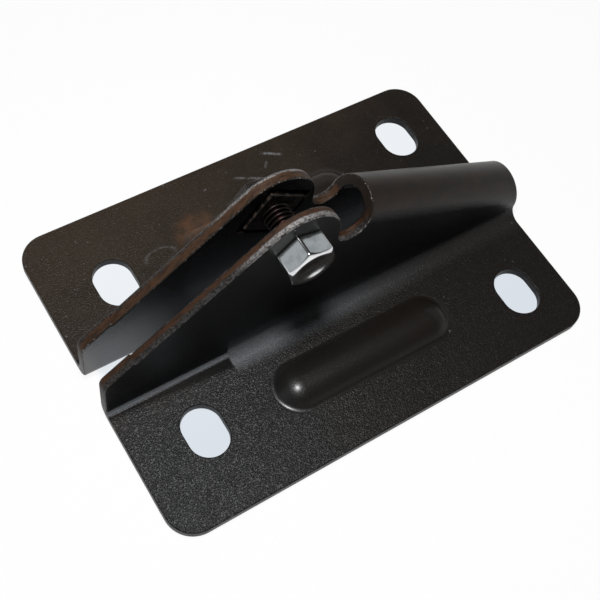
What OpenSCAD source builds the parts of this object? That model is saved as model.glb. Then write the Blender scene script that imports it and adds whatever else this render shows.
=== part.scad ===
// Pressed-steel bracket of a door limiter strap.
// One sheet is folded into two flanges and a hollow ridge between them. At the
// left the ridge is split into two ears, which take the strap's eye on a screw.
// The part stands on its flanges: +Z is up, X runs along the ridge, and the
// origin is the middle of the plate's underside. Sizes are in millimetres.

/* [Plate] */
// Length of the plate, along the ridge
plate_l = 108; // [96:1:130]
// Width of the plate, across the ridge
plate_w = 77; // [72:1:95]
// Thickness of the steel sheet
sheet_t = 2.5; // [2:0.1:3]
// Radius of the plate's four corners
corner_r = 6.5; // [2:0.5:9]

/* [Fixing slots] */
// Width of a slot, along the ridge
slot_w = 9; // [6:0.5:10]
// Length of a slot, across the ridge
slot_l = 12; // [10.5:0.5:14]
// Distance of the left pair from the plate's left end
left_slot_inset = 16; // [12:0.5:20]
// Spacing of the left pair
left_slot_pitch = 40; // [36:0.5:46]
// Distance of the right pair from the plate's right end
right_slot_inset = 12; // [9:0.5:16]
// Spacing of the right pair
right_slot_pitch = 50; // [44:0.5:54]

/* [Ridge] */
// Shift of the ridge's middle plane from the plate's middle
ridge_y = -0.85; // [-3:0.05:3]
// Clear gap between the ridge's two walls
ridge_gap = 7.2; // [5:0.1:9]
// Radius in the corner between flange and ear
ear_bend_r = 1; // [0.6:0.1:2]
// Radius in the corner between flange and crest wall
crest_bend_r = 3; // [2.2:0.1:3.2]
// Distance from the left end at which the corner radius changes
bend_step_inset = 28.6; // [20:0.2:36]
// Height of the crest over the middle of the notch
crest_high = 40.3; // [38:0.1:44]
// Height of the crest at the right end
crest_low = 13; // [12.5:0.1:16]

/* [Ears] */
// Distance of the screw's axis from the left end
pivot_inset = 42.5; // [38:0.5:48]
// Height of the screw's axis
pivot_h = 35.2; // [33:0.1:38]
// Radius of the ears round the screw
ear_r = 9.6; // [9:0.1:11]
// Slope of the ears' long upper edges, in degrees
ear_slope = 38.7; // [34:0.1:40]
// Radius at the low end of the ears
ear_end_r = 3; // [1:0.1:4]
// Height of the land left by the press at the low end of the ears
land_h = 0.9; // [0.3:0.1:1.5]
// Length of that land
land_l = 7; // [4:0.5:10]
// Width of the round notch between the ears and the crest
notch_w = 6.9; // [5:0.1:9]
// Depth of the notch's centre below the screw's axis
notch_drop = 2.2; // [0.5:0.1:4]

/* [Beads] */
// Length of the stiffening bead on each flange
bead_l = 46; // [30:1:52]
// Width of a bead, with its blends
bead_w = 12.8; // [11:0.2:15]
// Height of a bead over the flange
bead_h = 2.6; // [1.5:0.1:3.2]
// Radius of the blend between bead and flange
bead_blend_r = 2; // [1:0.1:2.5]
// Distance of a bead's middle from the ridge's middle plane
bead_offset = 20; // [18.5:0.1:22]
// Distance of a bead's middle from the plate's left end
bead_inset = 55.3; // [50:0.1:60]

/* [Screw and nut] */
// Diameter of the screw's thread
screw_d = 6; // [5:0.5:6.5]
// Length of the screw under its head
screw_l = 16; // [14:0.5:20]
// Width of the hexagon head across its flats
head_af = 10; // [9:0.1:12]
// Height of the head
head_h = 5; // [4:0.1:6]
// Diameter of the round face on the end of the head
head_face_d = 9.4; // [8.4:0.1:9.8]
// Angle of the bevel between that face and the head's sides, in degrees
head_bevel = 30; // [15:1:45]
// Diameter of the dish in the end of the head
dish_d = 7.2; // [4:0.1:8]
// Depth of that dish
dish_depth = 0.4; // [0.3:0.1:1.5]
// Turn of the head about the screw's axis, in degrees
head_turn = 15; // [0:1:59]
// Bevel at the tip of the screw
tip_bevel = 0.75; // [0.3:0.05:1.2]
// Side of the square nut
nut_af = 10; // [9.5:0.1:10.6]
// Thickness of the nut
nut_h = 3.2; // [2.5:0.1:4]
// Depth of the pocket that holds the nut
pocket_depth = 2.8; // [2.2:0.1:3.5]
// Flare of the pocket on each side, from its floor to its mouth
pocket_flare = 1.1; // [0.4:0.1:1.4]
// Thickness of the drawn wall round the pocket
pocket_wall = 1.9; // [1.2:0.1:2.2]
// How far the corners of the pocket's boss are rounded off
boss_corner_cut = 2.4; // [0.8:0.1:2.6]
// Rim of the ear that stays flat round the boss
boss_rim = 0.5; // [0.3:0.1:1]
// Reach of the boss's flat top from the screw's axis, towards the round end of the ear
boss_top_reach = 3; // [2.5:0.1:6]
// Angle at which the boss falls away there, from the screw's axis, in degrees
boss_fall = 67; // [45:1:70]
// Turn of the pocket about the screw's axis, in degrees
pocket_turn = 34; // [0:1:45]

/* [Fits] */
// Clearance round the screw in the bracket's bores
bore_clearance = 0.3; // [0.2:0.05:0.5]
// Clearance between the nut's bore and the screw
thread_clearance = 0.1; // [0.05:0.05:0.2]
// Clearance round the nut in its pocket
nut_clearance = 0.2; // [0.1:0.05:0.3]

/* [Hidden] */
$fn = 96;
paint_colour = "#2c2825";
screw_colour = "#c9ccce";
nut_colour = "#4a443d";

// How far a cutting shape runs past the surface that it cuts
over = 1;
// How deep two shapes that are joined reach into each other
lap = 0.2;
// How far an arc bites into the line or arc that it runs into, so that the two cross
bite = 0.02;

left_x = -plate_l / 2;
right_x = plate_l / 2;

// The ears and the rolled crest share the same two faces on each side of the ridge
wall_in = ridge_gap / 2;
wall_out = wall_in + sheet_t;
step_x = left_x + bend_step_inset;

pivot_x = left_x + pivot_inset;
notch_r = notch_w / 2;
notch_x = pivot_x + ear_r + notch_r;
notch_z = pivot_h - notch_drop;

// The crest's round top is straight, and drops from the notch to the right end
crest_angle = atan((crest_high - crest_low) / (right_x - notch_x));
crest_base_z = sheet_t + crest_bend_r;
crest_axis_low = crest_low - (wall_out + bite) / cos(crest_angle);
crest_run = (right_x - notch_x) / cos(crest_angle) + 2 * wall_out;

// Tops that the side view's cutting shapes have to clear
ridge_top = max(pivot_h + ear_r, crest_high) + over;

// Centre of the round at the low end of the ears, which touches the land and the end
edge_rise = ear_r / cos(ear_slope) - (pivot_inset - ear_end_r) * tan(ear_slope);
end_x = left_x + ear_end_r;
end_z = pivot_h + edge_rise + land_h - ear_end_r / cos(ear_slope);

// The bead's crown meets both blends, which touch the flange
bead_reach = (pow(bead_w / 2, 2) + pow(bead_h, 2) - pow(bite, 2)) / (2 * (bead_h - bite));
bead_crown_r = bead_reach - bead_blend_r;
bead_crown_z = sheet_t + bead_h - bead_crown_r;
bead_blend_z = sheet_t + bead_blend_r;
bead_x = left_x + bead_inset;

bore_d = screw_d + 2 * bore_clearance;
front_face_y = ridge_y - wall_out;
rear_inner_y = ridge_y + wall_in;
rear_face_y = ridge_y + wall_out;
pocket_w = nut_af + 2 * nut_clearance;
pocket_floor_y = rear_inner_y + pocket_depth;
boss_w = pocket_w + 2 * pocket_wall;
boss_h = pocket_depth + pocket_wall;
boss_round_r = boss_w / sqrt(2) - boss_corner_cut;
flare_rate = pocket_flare / pocket_depth;

// Width of the head across its corners, and radius of the ball that dishes its end
head_across = head_af / cos(30);
dish_r = (pow(dish_d / 2, 2) + pow(dish_depth, 2)) / (2 * dish_depth);

// Slot with round ends, centred, that runs along Y
module slot(w, l) {
    square([w, l - w], center = true);
    for (y = [-1, 1])
        translate([0, y * (l - w) / 2])
            circle(d = w);
}

// Stands a side view, drawn as X and Z, between two values of Y
module between_y(y0, y1) {
    translate([0, y1, 0])
        rotate([90, 0, 0])
            linear_extrude(y1 - y0)
                children();
}

// Runs a cross-section, drawn as Y and Z, between two values of X
module between_x(x0, x1) {
    translate([x0, 0, 0])
        rotate([90, 0, 90])
            linear_extrude(x1 - x0)
                children();
}

// Plan of the flat plate: round corners and four slots
module plate_plan() {
    difference() {
        union() {
            square([plate_l, plate_w - 2 * corner_r], center = true);
            square([plate_l - 2 * corner_r, plate_w], center = true);
            for (x = [-1, 1], y = [-1, 1])
                translate([x * (plate_l / 2 - corner_r), y * (plate_w / 2 - corner_r)])
                    circle(corner_r);
        }
        for (side = [-1, 1]) {
            translate([left_x + left_slot_inset, side * left_slot_pitch / 2])
                slot(slot_w, slot_l);
            translate([right_x - right_slot_inset, side * right_slot_pitch / 2])
                slot(slot_w, slot_l);
        }
    }
}

// Cross-section of the fold: a flange, a bend and a wall on each side of the ridge
module fold_section(bend_r) {
    flange_start = wall_out + bend_r;
    bend_z = sheet_t + bend_r;
    for (side = [0, 1])
        mirror([side, 0]) {
            translate([flange_start, 0])
                square([plate_w, sheet_t]);
            translate([wall_in, bend_z])
                square([sheet_t, ridge_top - bend_z]);
            intersection() {
                translate([flange_start, bend_z])
                    difference() {
                        circle(bend_z);
                        circle(bend_r);
                    }
                translate([wall_in, 0])
                    square(bend_z);
            }
        }
}

// Disc between two straight sides: one slopes away to the left or right of its top,
// and the other drops from its far side
module round_corner(r, slope, to_left) {
    circle(r);
    rotate(slope)
        translate([to_left ? -plate_l : 0, -plate_l])
            square([plate_l, plate_l + r - bite]);
    translate([to_left ? 0 : -r, -plate_l])
        square([to_left ? r : plate_l, plate_l]);
}

// Side view of the sheet up to the crest: the ears, the wall under the notch and the bends
module fold_side() {
    intersection() {
        translate([pivot_x, pivot_h])
            round_corner(ear_r, ear_slope, true);
        translate([left_x + land_l / 2, -over])
            square([pivot_inset + ear_r - land_l / 2, ridge_top + over]);
    }
    intersection() {
        translate([end_x, end_z])
            round_corner(ear_end_r, ear_slope, false);
        translate([left_x, -over])
            square([land_l, ridge_top + over]);
    }
    translate([pivot_x, -over])
        square([notch_x + lap - pivot_x, notch_z + over]);
    translate([pivot_x, -over])
        square([right_x + over - pivot_x, crest_base_z + over]);
}

// Side view of the notch: a round floor, upright at the ears and square to the crest
module notch_side() {
    reach = ridge_top + wall_out;
    translate([notch_x, notch_z]) {
        circle(notch_r);
        translate([bite - notch_r, 0])
            square([notch_r, reach]);
        rotate(-crest_angle)
            translate([-notch_r, 0])
                square([2 * notch_r - bite, reach]);
        polygon([
            [-notch_r / 2, 0],
            [-notch_r / 2, reach],
            [reach * sin(crest_angle), reach * cos(crest_angle)]
        ]);
    }
}

// Core of the crest: two flat sides, half_w from the middle, under a sloping round top.
// It runs past its ends and base by past.
module crest_core(half_w, past) {
    intersection() {
        between_y(ridge_y - half_w, ridge_y + half_w)
            translate([notch_x - past, crest_base_z - past])
                square([right_x - notch_x + 2 * past, ridge_top]);
        translate([right_x, ridge_y, crest_axis_low])
            rotate([0, crest_angle, 0])
                between_x(-crest_run, wall_out) {
                    circle(half_w + bite);
                    translate([-wall_out - over, -plate_l])
                        square([2 * (wall_out + over), plate_l]);
                }
    }
}

// Rolled crest: both walls and the round top, open below and at both ends
module crest() {
    difference() {
        crest_core(wall_out, 0);
        crest_core(wall_in, over);
    }
}

// Half of a bead's cross-section, down to z = bottom; inset 0 is the upper skin
// and sheet_t is the lower skin
module bead_half_section(inset, bottom) {
    crown_r = bead_crown_r - inset;
    blend_r = bead_blend_r + inset;
    rise = (bead_blend_z - bead_crown_z) / (bead_reach - bite);
    touch_z = bead_crown_z + (crown_r - bite / 2) * rise;
    intersection() {
        translate([0, bead_crown_z])
            circle(crown_r);
        translate([0, bottom])
            square([bead_w / 2, bead_w]);
    }
    difference() {
        translate([0, bottom])
            square([bead_w / 2, touch_z - bottom]);
        translate([bead_w / 2, bead_blend_z])
            circle(blend_r);
    }
}

// One skin of the bead on one flange: a straight run between two round ends
module bead_form(inset, bottom, side) {
    half_run = (bead_l - bead_w) / 2;
    translate([bead_x, ridge_y + side * bead_offset, 0]) {
        between_x(-half_run, half_run)
            for (half = [0, 1])
                mirror([half, 0])
                    bead_half_section(inset, bottom);
        for (end = [-1, 1])
            translate([end * half_run, 0, 0])
                rotate(-90 * end)
                    rotate_extrude(angle = 180)
                        bead_half_section(inset, bottom);
    }
}

// Places a shape on the screw's axis: its base at y, and its +Z to the rear
module on_pivot(y) {
    translate([pivot_x, y, pivot_h])
        rotate([-90, 0, 0])
            children();
}

// Square post whose side grows by grow from its top to its base, turned as the pocket is
module square_post(top_w, grow, h) {
    base = top_w + grow;
    rotate(pocket_turn)
        intersection_for (turn = [0, 90])
            rotate(turn)
                translate([0, base / 2, 0])
                    rotate([90, 0, 0])
                        linear_extrude(base)
                            polygon([
                                [-base / 2, 0],
                                [base / 2, 0],
                                [top_w / 2, h],
                                [-top_w / 2, h]
                            ]);
}

// Space under the slope in which the boss falls away to the round end of the ear
module under_boss_fall() {
    run = tan(boss_fall);
    rotate(pocket_turn)
        translate([-boss_w, 0, 0])
            rotate([90, 0, 90])
                linear_extrude(2 * boss_w)
                    polygon([
                        [boss_w, -over],
                        [boss_w, boss_h + over],
                        [run * over - boss_top_reach, boss_h + over],
                        [-run * (boss_h + over) - boss_top_reach, -over]
                    ]);
}

// Boss that the press draws out of the rear ear, with rounded corners
module nut_boss() {
    on_pivot(rear_inner_y)
        intersection() {
            square_post(boss_w, 2 * flare_rate * boss_h, boss_h);
            cylinder(h = boss_h, r1 = ear_r - boss_rim, r2 = boss_round_r);
            under_boss_fall();
        }
}

// Pocket inside the boss, open to the gap between the ears
module nut_pocket() {
    mouth = pocket_depth + over;
    on_pivot(rear_inner_y - over)
        square_post(pocket_w, 2 * flare_rate * mouth, mouth);
}

// Folded sheet: plate, ears, crest, beads and the nut's pocket in one piece
module bracket() {
    color(paint_colour)
        difference() {
            union() {
                intersection() {
                    translate([0, ridge_y, 0]) {
                        between_x(left_x, step_x)
                            fold_section(ear_bend_r);
                        between_x(step_x, right_x)
                            fold_section(crest_bend_r);
                    }
                    translate([0, 0, -over])
                        linear_extrude(ridge_top + over)
                            plate_plan();
                    between_y(-plate_w, plate_w)
                        fold_side();
                }
                crest();
                nut_boss();
                for (side = [-1, 1])
                    bead_form(0, sheet_t / 2, side);
            }
            between_y(front_face_y - over, rear_face_y + over)
                notch_side();
            for (side = [-1, 1])
                bead_form(sheet_t, -over, side);
            nut_pocket();
            on_pivot(front_face_y - over)
                cylinder(h = wall_out + wall_in + boss_h + 2 * over, d = bore_d);
        }
}

// Hexagon head of the screw, from z = 0 down: bevelled corners and a dished end
module screw_head() {
    bevel_d = head_face_d + 2 * head_h / tan(head_bevel);
    translate([0, 0, -head_h])
        difference() {
            intersection() {
                rotate(head_turn)
                    cylinder(h = head_h, d = head_across, $fn = 6);
                cylinder(h = head_h, d1 = head_face_d, d2 = bevel_d);
            }
            translate([0, 0, dish_depth - dish_r])
                sphere(dish_r);
        }
}

// Screw through both ears, with its hexagon head on the front ear
module pivot_screw() {
    color(screw_colour)
        on_pivot(front_face_y) {
            screw_head();
            rotate_extrude()
                polygon([
                    [0, -head_h / 2],
                    [screw_d / 2, -head_h / 2],
                    [screw_d / 2, screw_l - tip_bevel],
                    [screw_d / 2 - tip_bevel, screw_l],
                    [0, screw_l]
                ]);
        }
}

// Square nut on the floor of the rear ear's pocket
module square_nut() {
    color(nut_colour)
        on_pivot(pocket_floor_y - nut_h)
            difference() {
                square_post(nut_af, 0, nut_h);
                translate([0, 0, -over])
                    cylinder(h = nut_h + 2 * over, d = screw_d + 2 * thread_clearance);
            }
}

bracket();
pivot_screw();
square_nut();
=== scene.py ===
"""Dresses the pressed-steel bracket of a door limiter strap.

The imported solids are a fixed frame. The folded sheet gets rounded edges, black paint and rusty
sheared edges, the screw gets a soft-edged dished head and a wound thread, and the nut gets old steel.
"""

import logging
import math
from collections.abc import Callable
from dataclasses import dataclass, field
from enum import Enum
from functools import cached_property

import bmesh
import bpy
import numpy as np
from mathutils import Matrix, Vector


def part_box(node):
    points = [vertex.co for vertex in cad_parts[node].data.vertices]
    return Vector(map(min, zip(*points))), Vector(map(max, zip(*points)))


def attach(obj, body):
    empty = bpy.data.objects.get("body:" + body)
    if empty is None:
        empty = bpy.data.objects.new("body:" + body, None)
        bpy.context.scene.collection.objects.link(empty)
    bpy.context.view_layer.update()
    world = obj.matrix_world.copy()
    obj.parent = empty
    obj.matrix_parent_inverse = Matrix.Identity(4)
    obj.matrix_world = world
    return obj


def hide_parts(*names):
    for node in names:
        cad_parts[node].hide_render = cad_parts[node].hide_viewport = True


bpy.ops.wm.read_factory_settings(use_empty=True)
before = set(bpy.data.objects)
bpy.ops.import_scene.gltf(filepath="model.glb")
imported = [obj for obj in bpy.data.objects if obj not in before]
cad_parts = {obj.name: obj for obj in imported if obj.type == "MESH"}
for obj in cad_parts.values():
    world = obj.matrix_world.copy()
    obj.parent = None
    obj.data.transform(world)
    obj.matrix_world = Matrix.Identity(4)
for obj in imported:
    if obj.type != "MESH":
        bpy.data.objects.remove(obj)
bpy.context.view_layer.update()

MM = 0.001
BODY = "root"
LOG = logging.getLogger("bracket")


class Slot(Enum):
    """The record's material slots."""

    PAINT = "black_paint"
    PLATING = "bright_plating"
    NUT = "nut_steel"


class Value:
    """A number in a shader, which adds Math nodes as it is used in expressions."""

    def __init__(self, graph: "Graph", socket: bpy.types.NodeSocket) -> None:
        """Wraps a socket.

        Args:
            graph: The graph that the socket belongs to.
            socket: The output socket that holds the number.
        """
        self.graph = graph
        self.socket = socket

    def __add__(self, other: "Number") -> "Value":
        """The sum with another number."""
        return self.graph.math("ADD", self, other)

    __radd__ = __add__

    def __sub__(self, other: "Number") -> "Value":
        """This number less another."""
        return self.graph.math("SUBTRACT", self, other)

    def __rsub__(self, other: "Number") -> "Value":
        """Another number less this one."""
        return self.graph.math("SUBTRACT", other, self)

    def __mul__(self, other: "Number") -> "Value":
        """The product with another number."""
        return self.graph.math("MULTIPLY", self, other)

    __rmul__ = __mul__

    def __truediv__(self, other: "Number") -> "Value":
        """This number over another."""
        return self.graph.math("DIVIDE", self, other)

    def __pow__(self, other: "Number") -> "Value":
        """This number to a power."""
        return self.graph.math("POWER", self, other)

    def __abs__(self) -> "Value":
        """The size of this number."""
        return self.graph.math("ABSOLUTE", self, 0.0)

    def either(self, other: "Number") -> "Value":
        """The larger of two numbers."""
        return self.graph.math("MAXIMUM", self, other)

    def ramp(self, start: float, end: float) -> "Value":
        """A smooth step: 0 at start and 1 at end, which may be the lower of the two.

        Args:
            start: The number that gives 0.
            end: The number that gives 1.

        Returns:
            The step, from 0 to 1.
        """
        low, high = min(start, end), max(start, end)
        node = self.graph.node(
            "ShaderNodeMapRange",
            {"interpolation_type": "SMOOTHSTEP"},
            {"Value": self, "From Min": low, "From Max": high},
        )
        step = Value(self.graph, node.outputs["Result"])
        return step if start <= end else 1.0 - step


Number = Value | float


class Graph:
    """A node tree that is being written."""

    def __init__(self, tree: bpy.types.NodeTree) -> None:
        """Takes a tree and empties it.

        Args:
            tree: The node tree of a material, a world or a geometry modifier.
        """
        self.tree = tree
        tree.nodes.clear()

    def node(self, kind: str, settings: dict | None = None, inputs: dict | None = None) -> bpy.types.Node:
        """Adds a node.

        Args:
            kind: The node's type.
            settings: The node's own properties, which are set first.
            inputs: Values or links for its sockets, by name or index.

        Returns:
            The new node.
        """
        made = self.tree.nodes.new(kind)
        for name, value in (settings or {}).items():
            setattr(made, name, value)
        for key, value in (inputs or {}).items():
            self.feed(made.inputs[key], value)
        return made

    def feed(self, socket: bpy.types.NodeSocket, value: object) -> None:
        """Links a socket or sets its value.

        Args:
            socket: The input socket.
            value: A Value, an output socket or a plain value.
        """
        source = value.socket if isinstance(value, Value) else value
        if isinstance(source, bpy.types.NodeSocket):
            self.tree.links.new(source, socket)
        else:
            socket.default_value = source

    def math(self, operation: str, a: Number, b: Number) -> Value:
        """Adds a Math node."""
        made = self.node("ShaderNodeMath", {"operation": operation}, {0: a, 1: b})
        return Value(self, made.outputs[0])

    def mix(self, factor: Number, a: object, b: object) -> bpy.types.NodeSocket:
        """Blends two colours.

        Args:
            factor: 0 gives the first colour and 1 the second.
            a: The first colour, a tuple or a socket.
            b: The second colour.

        Returns:
            The blended colour's socket.
        """
        share, first, second, colour = 0, 6, 7, 2
        blend = self.node("ShaderNodeMix", {"data_type": "RGBA"}, {share: factor, first: a, second: b})
        return blend.outputs[colour]

    def vector(self, operation: str, a: object, b: object) -> bpy.types.NodeSocket:
        """Adds a Vector Math node with two vectors."""
        return self.node("ShaderNodeVectorMath", {"operation": operation}, {0: a, 1: b}).outputs[0]

    def split(self, vector: bpy.types.NodeSocket) -> tuple[Value, Value, Value]:
        """The three parts of a vector as numbers."""
        parts = self.node("ShaderNodeSeparateXYZ", None, {0: vector})
        return tuple(Value(self, output) for output in parts.outputs)

    def noise(
        self, vector: bpy.types.NodeSocket, size: float, detail: float = 2.0, rough: float = 0.5
    ) -> Value:
        """Adds smooth noise.

        Args:
            vector: The coordinates.
            size: The size of a feature, in the coordinates' own units.
            detail: How many finer layers are added.
            rough: How strong those layers are.

        Returns:
            The noise, about 0.5.
        """
        made = self.node(
            "ShaderNodeTexNoise",
            {"noise_dimensions": "3D"},
            {"Vector": vector, "Scale": 1.0 / size, "Detail": detail, "Roughness": rough},
        )
        return Value(self, made.outputs[0])

    def millimetres(self) -> bpy.types.NodeSocket:
        """The object's own coordinates, in millimetres."""
        place = self.node("ShaderNodeTexCoord").outputs["Object"]
        return self.vector("MULTIPLY", place, (1.0 / MM,) * 3)

    def bump(self, height: Value, depth: float) -> bpy.types.NodeSocket:
        """Turns a height into a normal.

        Args:
            height: The height, from about 0 to 1.
            depth: The height of 1, in metres.

        Returns:
            The bent normal.
        """
        made = self.node("ShaderNodeBump", None, {"Strength": 1.0, "Distance": depth, "Height": height})
        return made.outputs["Normal"]

    def surface(self, **inputs: object) -> None:
        """Ends a material in a Principled surface with these inputs, named with _ for a space."""
        named = {name.replace("_", " "): value for name, value in inputs.items()}
        shader = self.node("ShaderNodeBsdfPrincipled", None, named)
        self.node("ShaderNodeOutputMaterial", None, {"Surface": shader.outputs[0]})


def new_material(name: str) -> tuple[bpy.types.Material, Graph]:
    """An empty material and the graph of its nodes.

    Args:
        name: The material's name.

    Returns:
        The material and its graph.
    """
    material = bpy.data.materials.new(name)
    material.use_nodes = True
    return material, Graph(material.node_tree)


def add_object(name: str, data: bpy.types.ID) -> bpy.types.Object:
    """Puts an object in the scene.

    Args:
        name: Its name.
        data: Its mesh, lamp or camera.

    Returns:
        The object.
    """
    made = bpy.data.objects.new(name, data)
    bpy.context.scene.collection.objects.link(made)
    return made


@dataclass(frozen=True)
class Layout:
    """Where things are on the bracket, in metres, from the frame and a few sizes.

    Attributes:
        sheet_t: Thickness of the sheet.
        ridge_gap: Width of the gap between the ears.
        head_h: Height of the screw's head.
        ear_bend_r: Radius, on the hollow side, of the bends beside the ears.
        crest_bend_r: The same beside the crest.
        step_inset: Distance of the step between those bends from the plate's left end.
        notch_reach: Distance along X from the screw to beyond the notch.
    """

    sheet_t: float = 2.5 * MM
    ridge_gap: float = 7.2 * MM
    head_h: float = 5.0 * MM
    ear_bend_r: float = 1.0 * MM
    crest_bend_r: float = 3.0 * MM
    step_inset: float = 28.6 * MM
    notch_reach: float = 17.0 * MM

    @cached_property
    def screw_box(self) -> tuple[Vector, Vector]:
        """The screw's box."""
        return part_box("pivot_screw")

    @cached_property
    def pivot(self) -> Vector:
        """Middle of the screw."""
        low, high = self.screw_box
        return (low + high) / 2

    @cached_property
    def front_face(self) -> float:
        """Y of the front ear's outer face, which the head sits on."""
        return self.screw_box[0].y + self.head_h

    @cached_property
    def wall_out(self) -> float:
        """Distance of the ears' outer faces from the ridge's middle plane."""
        return self.ridge_gap / 2 + self.sheet_t

    @cached_property
    def ridge_y(self) -> float:
        """Y of the ridge's middle plane."""
        return self.front_face + self.wall_out

    @cached_property
    def step_x(self) -> float:
        """X at which the radius of the bends changes."""
        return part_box("bracket")[0].x + self.step_inset


@dataclass(frozen=True)
class Scratch:
    """A bright line on the flange's upper face, in millimetres.

    Attributes:
        start: One end, as X and Y.
        end: The other end.
        width: Half the line's width.
        strength: How much of the paint it hides.
    """

    start: tuple[float, float]
    end: tuple[float, float]
    width: float
    strength: float

    def mask(self, x: Value, y: Value) -> Value:
        """Where the scratch is, fading towards its sides and ends.

        Args:
            x: X in millimetres.
            y: Y in millimetres.

        Returns:
            The mask, up to strength.
        """
        middle = [(a + b) / 2 for a, b in zip(self.start, self.end)]
        run = [b - a for a, b in zip(self.start, self.end)]
        half = math.hypot(*run) / 2
        along = [part / (2 * half) for part in run]
        u = (x - middle[0]) * along[0] + (y - middle[1]) * along[1]
        v = (y - middle[1]) * along[0] - (x - middle[0]) * along[1]
        full_width, full_run = 0.2 * self.width, 0.6 * half
        return abs(v).ramp(self.width, full_width) * abs(u).ramp(half, full_run) * self.strength


class SheetPoint:
    """What the paint knows about a point of the folded sheet, with lengths in millimetres.

    Attributes:
        graph: The material's graph.
        at: The point.
        x: Its X.
        y: Its Y.
        z: Its Z.
        up: How far its face looks upwards, from -1 to 1.
        outside: Distance outwards from the ridge's outer faces.
        depth: Place in the thickness of an ear, 0 at its outer face and 1 at its inner face.
        inwards: More than 0 on faces that look towards the ridge's middle plane.
        reach: Distance from the screw's axis.
        shear: 1 on the sheared edges of the ears and the notch.
        rim: 1 in the middle of a rounded edge.
    """

    def __init__(self, graph: Graph, layout: Layout) -> None:
        """Adds the nodes that find the point.

        Args:
            graph: The material's graph.
            layout: Where things are.
        """
        pivot = layout.pivot / MM
        self.graph = graph
        self.at = graph.millimetres()
        self.x, self.y, self.z = graph.split(self.at)
        _, sideways, self.up = graph.split(graph.node("ShaderNodeNewGeometry").outputs["Normal"])
        self.outside = abs(self.y - layout.ridge_y / MM) - layout.wall_out / MM
        self.depth = self.outside / (-layout.sheet_t / MM)
        self.inwards = (layout.ridge_y / MM - self.y) * sideways
        self.reach = ((self.x - pivot.x) ** 2.0 + (self.z - pivot.z) ** 2.0) ** 0.5
        self.shear = self.attribute("shear")
        self.rim = self.attribute("rim")

    def attribute(self, name: str) -> Value:
        """Reads one of the mesh's own attributes."""
        reader = self.graph.node("ShaderNodeAttribute", {"attribute_name": name})
        return Value(self.graph, reader.outputs["Fac"])

    def noise(self, size: float, detail: float = 2.0, rough: float = 0.5) -> Value:
        """Smooth noise with features of this size."""
        return self.graph.noise(self.at, size, detail, rough)

    def oval(self, centre: tuple[float, float], radius: tuple[float, float]) -> Value:
        """Distance from a point on the flange, as a share of an oval's radius."""
        across, along = (self.x - centre[0]) / radius[0], (self.y - centre[1]) / radius[1]
        return (across**2.0 + along**2.0) ** 0.5


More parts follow.
